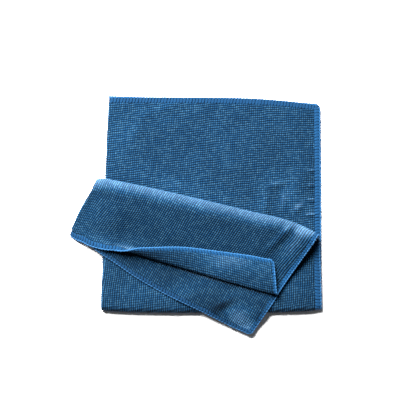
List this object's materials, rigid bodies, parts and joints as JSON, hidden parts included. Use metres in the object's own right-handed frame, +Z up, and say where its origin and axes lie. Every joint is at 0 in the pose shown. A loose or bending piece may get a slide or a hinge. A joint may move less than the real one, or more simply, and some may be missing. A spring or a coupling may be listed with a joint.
{
  "type": "microfibre cloth",
  "caption": "Blue knitted microfibre cleaning cloth with overlocked hems, folded in quarters, its upper layers turned forwards over a slanting crease and a corner turned back.",
  "frame": {"origin": "on the resting surface, under the middle of the folded cloth's outline", "axes": "+Z up; +X to the right and -Y to the front, with the hems of the square at the back and at the right"},
  "size_m": [0.2402, 0.23, 0.0257],
  "materials": {
    "cloth": "matt looped knit"
  },
  "bodies": {
    "root": {"cloth": "cloth"}
  },
  "joints": []
}
